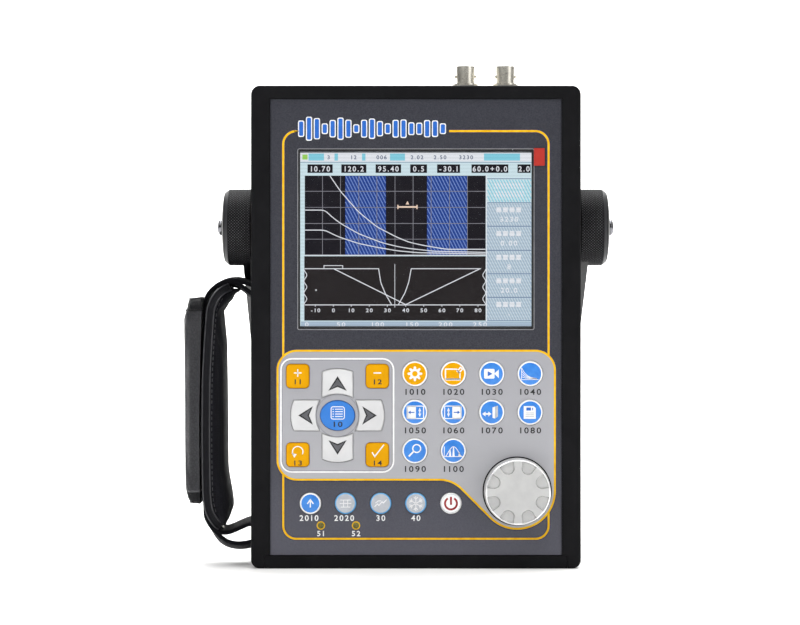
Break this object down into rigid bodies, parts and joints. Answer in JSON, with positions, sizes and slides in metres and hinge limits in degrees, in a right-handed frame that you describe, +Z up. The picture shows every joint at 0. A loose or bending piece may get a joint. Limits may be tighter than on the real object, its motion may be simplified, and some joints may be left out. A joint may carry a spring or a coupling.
{
  "type": "ultrasonic flaw detector",
  "caption": "Hand-held test instrument: black case, colour screen, grey key field, silver jog knob, top probe jacks, swinging bail handle on knurled hubs, padded side strap.",
  "frame": {"origin": "centre of the underside the case stands on", "axes": "+Z up, +X to the right seen from the front, the screen and keys face -Y"},
  "size_m": [0.217, 0.15, 0.2517],
  "materials": {
    "case_black": "fine satin texture",
    "seal_rubber": "matt",
    "screw_steel": "blackened",
    "panel_slate": "fine satin",
    "overlay_grey": "printed polyester film",
    "window_clear": "clear polycarbonate",
    "display_metal": "satin",
    "silicone": "satin",
    "board_green": "solder resist",
    "encoder_plastic": "satin",
    "nickel": "bright nickel plate",
    "battery_wrap": "shrink wrap",
    "wire_black": "satin",
    "insulator_white": "fluoropolymer",
    "stud_steel": "zinc plate",
    "washer_fibre": "fibre",
    "chrome_plate": "polished",
    "webbing_black": "woven",
    "pad_leather": "fine grain",
    "cover_leather": "fine grain",
    "handle_black": "black powder coat",
    "grip_rubber": "matt",
    "hub_black": "satin, knurled rim",
    "knob_silver": "satin anodised",
    "shaft_steel": "turned",
    "rotor_plastic": "satin",
    "flap_rubber": "satin",
    "white_key": "satin",
    "yellow_key": "satin",
    "blue_key": "satin",
    "grey_key": "satin"
  },
  "bodies": {
    "case": {"front_frame": "case_black", "rear_shell": "case_black", "bottom_cover": "case_black", "case_gasket": "seal_rubber", "case_screws": "screw_steel", "front_panel": "panel_slate", "keypad_overlay": "overlay_grey", "display_window": "window_clear", "display_gasket": "seal_rubber", "lcd_module": "display_metal", "keypad_mat": "silicone", "keypad_board": "board_green", "encoder_body": "encoder_plastic", "panel_nuts": "nickel", "main_board": "board_green", "battery_pack": "battery_wrap", "battery_door": "case_black", "wiring_harness": "wire_black", "jack_shells": "nickel", "jack_insulators": "insulator_white", "io_ports": "nickel", "pivot_studs": "stud_steel", "friction_washers": "washer_fibre", "retaining_screws": "chrome_plate", "strap_webbing": "webbing_black", "strap_pad": "pad_leather", "strap_cover": "cover_leather", "strap_hardware": "stud_steel"},
    "bail": {"bail_handle": "handle_black", "bail_grip": "grip_rubber", "hub_drums": "hub_black", "hub_caps": "hub_black"},
    "rotor": {"encoder_rotor": "rotor_plastic"},
    "knob": {"encoder_shaft": "shaft_steel", "jog_knob": "knob_silver"},
    "flap": {"port_flap": "flap_rubber"},
    "key_up": {"key_up": "white_key"},
    "key_down": {"key_down": "white_key"},
    "key_left": {"key_left": "white_key"},
    "key_right": {"key_right": "white_key"},
    "key_menu": {"key_menu": "blue_key"},
    "key_gain_up": {"key_gain_up": "yellow_key"},
    "key_gain_down": {"key_gain_down": "yellow_key"},
    "key_back": {"key_back": "yellow_key"},
    "key_confirm": {"key_confirm": "yellow_key"},
    "key_setup": {"key_setup": "yellow_key"},
    "key_probe": {"key_probe": "yellow_key"},
    "key_capture": {"key_capture": "blue_key"},
    "key_curve": {"key_curve": "blue_key"},
    "key_gate_a": {"key_gate_a": "blue_key"},
    "key_gate_b": {"key_gate_b": "blue_key"},
    "key_channel": {"key_channel": "blue_key"},
    "key_report": {"key_report": "blue_key"},
    "key_zoom": {"key_zoom": "blue_key"},
    "key_peak": {"key_peak": "blue_key"},
    "key_function": {"key_function": "blue_key"},
    "key_auto_gain": {"key_auto_gain": "grey_key"},
    "key_step": {"key_step": "grey_key"},
    "key_freeze": {"key_freeze": "grey_key"},
    "key_power": {"key_power": "white_key"}
  },
  "joints": [
    {"name": "bail_pivot", "type": "hinge", "parent": "case", "child": "bail", "pos_m": [0, 0, 0.1703], "axis": [1, 0, 0], "range_deg": [0, 240]},
    {"name": "flap_hinge", "type": "hinge", "parent": "case", "child": "flap", "pos_m": [-0.0385, 0.01015, 0.2412], "axis": [-1, 0, 0], "range_deg": [0, 110]},
    {"name": "knob_turn", "type": "hinge", "parent": "case", "child": "rotor", "pos_m": [0.0503, -0.0199, 0.0385], "axis": [0, -1, 0], "continuous": true},
    {"name": "knob_press", "type": "slide", "parent": "rotor", "child": "knob", "axis": [0, 1, 0], "range_m": [0, 0.0005], "stiffness_N_per_m": 3000},
    {"name": "key_up_press", "type": "slide", "parent": "case", "child": "key_up", "axis": [0, 1, 0], "range_m": [0, 0.0006], "stiffness_N_per_m": 3000},
    {"name": "key_down_press", "type": "slide", "parent": "case", "child": "key_down", "axis": [0, 1, 0], "range_m": [0, 0.0006], "stiffness_N_per_m": 3000},
    {"name": "key_left_press", "type": "slide", "parent": "case", "child": "key_left", "axis": [0, 1, 0], "range_m": [0, 0.0006], "stiffness_N_per_m": 3000},
    {"name": "key_right_press", "type": "slide", "parent": "case", "child": "key_right", "axis": [0, 1, 0], "range_m": [0, 0.0006], "stiffness_N_per_m": 3000},
    {"name": "key_menu_press", "type": "slide", "parent": "case", "child": "key_menu", "axis": [0, 1, 0], "range_m": [0, 0.0006], "stiffness_N_per_m": 3000},
    {"name": "key_gain_up_press", "type": "slide", "parent": "case", "child": "key_gain_up", "axis": [0, 1, 0], "range_m": [0, 0.0006], "stiffness_N_per_m": 3000},
    {"name": "key_gain_down_press", "type": "slide", "parent": "case", "child": "key_gain_down", "axis": [0, 1, 0], "range_m": [0, 0.0006], "stiffness_N_per_m": 3000},
    {"name": "key_back_press", "type": "slide", "parent": "case", "child": "key_back", "axis": [0, 1, 0], "range_m": [0, 0.0006], "stiffness_N_per_m": 3000},
    {"name": "key_confirm_press", "type": "slide", "parent": "case", "child": "key_confirm", "axis": [0, 1, 0], "range_m": [0, 0.0006], "stiffness_N_per_m": 3000},
    {"name": "key_setup_press", "type": "slide", "parent": "case", "child": "key_setup", "axis": [0, 1, 0], "range_m": [0, 0.0006], "stiffness_N_per_m": 3000},
    {"name": "key_probe_press", "type": "slide", "parent": "case", "child": "key_probe", "axis": [0, 1, 0], "range_m": [0, 0.0006], "stiffness_N_per_m": 3000},
    {"name": "key_capture_press", "type": "slide", "parent": "case", "child": "key_capture", "axis": [0, 1, 0], "range_m": [0, 0.0006], "stiffness_N_per_m": 3000},
    {"name": "key_curve_press", "type": "slide", "parent": "case", "child": "key_curve", "axis": [0, 1, 0], "range_m": [0, 0.0006], "stiffness_N_per_m": 3000},
    {"name": "key_gate_a_press", "type": "slide", "parent": "case", "child": "key_gate_a", "axis": [0, 1, 0], "range_m": [0, 0.0006], "stiffness_N_per_m": 3000},
    {"name": "key_gate_b_press", "type": "slide", "parent": "case", "child": "key_gate_b", "axis": [0, 1, 0], "range_m": [0, 0.0006], "stiffness_N_per_m": 3000},
    {"name": "key_channel_press", "type": "slide", "parent": "case", "child": "key_channel", "axis": [0, 1, 0], "range_m": [0, 0.0006], "stiffness_N_per_m": 3000},
    {"name": "key_report_press", "type": "slide", "parent": "case", "child": "key_report", "axis": [0, 1, 0], "range_m": [0, 0.0006], "stiffness_N_per_m": 3000},
    {"name": "key_zoom_press", "type": "slide", "parent": "case", "child": "key_zoom", "axis": [0, 1, 0], "range_m": [0, 0.0006], "stiffness_N_per_m": 3000},
    {"name": "key_peak_press", "type": "slide", "parent": "case", "child": "key_peak", "axis": [0, 1, 0], "range_m": [0, 0.0006], "stiffness_N_per_m": 3000},
    {"name": "key_function_press", "type": "slide", "parent": "case", "child": "key_function", "axis": [0, 1, 0], "range_m": [0, 0.0006], "stiffness_N_per_m": 3000},
    {"name": "key_auto_gain_press", "type": "slide", "parent": "case", "child": "key_auto_gain", "axis": [0, 1, 0], "range_m": [0, 0.0006], "stiffness_N_per_m": 3000},
    {"name": "key_step_press", "type": "slide", "parent": "case", "child": "key_step", "axis": [0, 1, 0], "range_m": [0, 0.0006], "stiffness_N_per_m": 3000},
    {"name": "key_freeze_press", "type": "slide", "parent": "case", "child": "key_freeze", "axis": [0, 1, 0], "range_m": [0, 0.0006], "stiffness_N_per_m": 3000},
    {"name": "key_power_press", "type": "slide", "parent": "case", "child": "key_power", "axis": [0, 1, 0], "range_m": [0, 0.0006], "stiffness_N_per_m": 3000}
  ]
}
